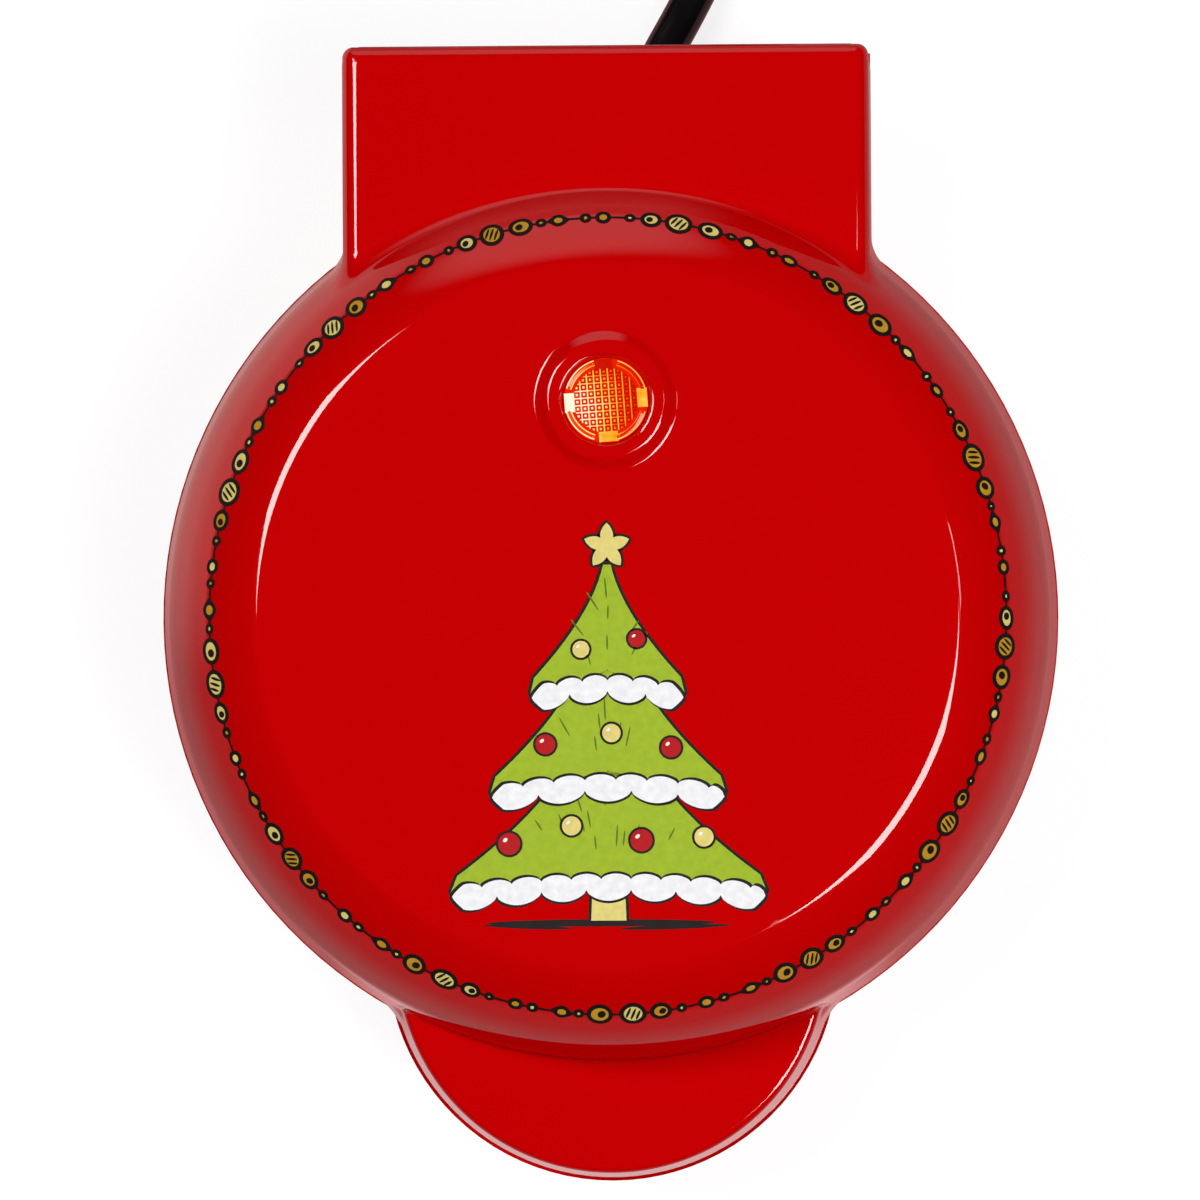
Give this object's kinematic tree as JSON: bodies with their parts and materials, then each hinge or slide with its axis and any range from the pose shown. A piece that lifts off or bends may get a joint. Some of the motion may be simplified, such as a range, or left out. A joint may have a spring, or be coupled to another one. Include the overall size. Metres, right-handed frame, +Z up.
{
  "type": "mini waffle maker",
  "caption": "Small round waffle maker with a hinged dome lid, square hinge block, front handle tab, amber indicator lens and studded waffle plates.",
  "frame": {"origin": "on the surface that the feet stand on, under the middle of the round body", "axes": "+Z up; +Y from the handle tab to the hinge; +X to the right when the handle tab faces the user"},
  "size_m": [0.127, 0.3155, 0.071],
  "materials": {
    "red_shell": "gloss",
    "plate_coating": "dark non-stick coating",
    "element_sheath": "satin",
    "reflector_sheet": "satin",
    "steel": "plated",
    "thermostat_body": "matt",
    "lead_sleeve": "woven glass sleeve",
    "foot_rubber": "matt",
    "cord_jacket": "smooth, slightly glossy",
    "blade_brass": "satin",
    "amber_lens": "clear amber, lit",
    "lamp_glass": "clear",
    "holder_plastic": "matt"
  },
  "bodies": {
    "base": {"base_shell": "red_shell", "base_deck": "red_shell", "lower_plate": "plate_coating", "lower_element": "element_sheath", "lower_reflector": "reflector_sheet", "lower_plate_screws": "steel", "thermostat": "thermostat_body", "thermal_fuse": "steel", "base_leads": "lead_sleeve", "hinge_lead": "lead_sleeve", "base_screws": "steel", "pivot_pin": "steel", "pivot_bush": "steel", "foot_front_left": "foot_rubber", "foot_front_right": "foot_rubber", "foot_rear_left": "foot_rubber", "foot_rear_right": "foot_rubber", "strain_relief": "cord_jacket", "power_cord": "cord_jacket", "cord_coil": "cord_jacket", "cord_tail": "cord_jacket", "plug": "cord_jacket", "plug_blades": "blade_brass"},
    "lid": {"lid_shell": "red_shell", "lid_deck": "red_shell", "upper_plate": "plate_coating", "upper_element": "element_sheath", "upper_reflector": "reflector_sheet", "upper_plate_screws": "steel", "lid_screws": "steel", "indicator_lens": "amber_lens", "neon_lamp": "lamp_glass", "lamp_holder": "holder_plastic", "lid_lead": "lead_sleeve"}
  },
  "joints": [
    {"name": "lid_hinge", "type": "hinge", "parent": "base", "child": "lid", "pos_m": [0, 0.069, 0.0369], "axis": [-1, 0, 0], "range_deg": [0, 100]}
  ]
}
